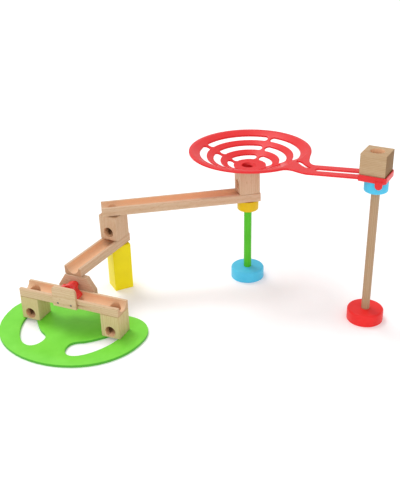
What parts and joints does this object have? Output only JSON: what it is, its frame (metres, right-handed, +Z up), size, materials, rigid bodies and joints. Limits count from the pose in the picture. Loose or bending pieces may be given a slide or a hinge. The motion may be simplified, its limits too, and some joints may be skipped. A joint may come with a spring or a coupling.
{
  "type": "ball drop track",
  "caption": "Free-standing wooden ball track: a start block on a post feeds a slotted plastic dish, grooved tracks and drop blocks, and a tipping piece over a base plate with catch openings.",
  "frame": {"origin": "on the floor, on the base plate's underside, below the middle of the cross track", "axes": "+Z up, +X along the cross track to the right as seen from the side where the balls come out, +Y away from that side"},
  "size_m": [0.7032, 0.5729, 0.3458],
  "materials": {
    "beech": "sanded, thinly oiled",
    "lime_paint": "satin paint on wood",
    "sky_paint": "satin paint on wood",
    "gold_paint": "satin paint on wood",
    "red_paint": "satin paint on wood",
    "coral_plastic": "smooth moulded",
    "red_plastic": "smooth moulded",
    "steel": "plain"
  },
  "bodies": {
    "base": {"base_plate": "lime_paint", "left_drop_block": "beech", "right_drop_block": "beech", "yellow_block": "gold_paint", "blue_foot": "sky_paint", "green_rod": "lime_paint", "yellow_cap": "gold_paint", "red_foot": "red_paint", "wood_rod": "beech", "blue_cap": "sky_paint"},
    "flip_unit": {"cross_track": "beech", "front_cheek": "beech", "rear_cheek": "beech", "cheek_nails": "steel", "flipper_pin": "steel"},
    "tipper": {"flipper": "red_plastic"},
    "short_run": {"short_track": "beech"},
    "turning_block": {"turn_block": "beech"},
    "long_run": {"long_track": "beech"},
    "dish_support": {"dish_block": "beech"},
    "dish": {"spiral_dish": "coral_plastic", "start_tray": "coral_plastic"},
    "start": {"start_block": "beech"}
  },
  "joints": [
    {"name": "flipper_tip", "type": "hinge", "parent": "flip_unit", "child": "tipper", "pos_m": [-0.003, 0, 0.0842], "axis": [0, -1, 0], "range_deg": [0, 32]},
    {"name": "flip_unit_lift", "type": "slide", "parent": "base", "child": "flip_unit", "axis": [0, 0, 1], "range_m": [0, 0.04]},
    {"name": "short_track_lift", "type": "slide", "parent": "flip_unit", "child": "short_run", "axis": [0, 0, 1], "range_m": [0, 0.04]},
    {"name": "turn_block_lift", "type": "slide", "parent": "short_run", "child": "turning_block", "axis": [0, 0, 1], "range_m": [0, 0.04]},
    {"name": "long_track_lift", "type": "slide", "parent": "turning_block", "child": "long_run", "axis": [0, 0, 1], "range_m": [0, 0.04]},
    {"name": "dish_block_lift", "type": "slide", "parent": "long_run", "child": "dish_support", "axis": [0, 0, 1], "range_m": [0, 0.04]},
    {"name": "dish_lift", "type": "slide", "parent": "dish_support", "child": "dish", "axis": [0, 0, 1], "range_m": [0, 0.04]},
    {"name": "start_block_lift", "type": "slide", "parent": "dish", "child": "start", "axis": [0, 0, 1], "range_m": [0, 0.04]}
  ]
}
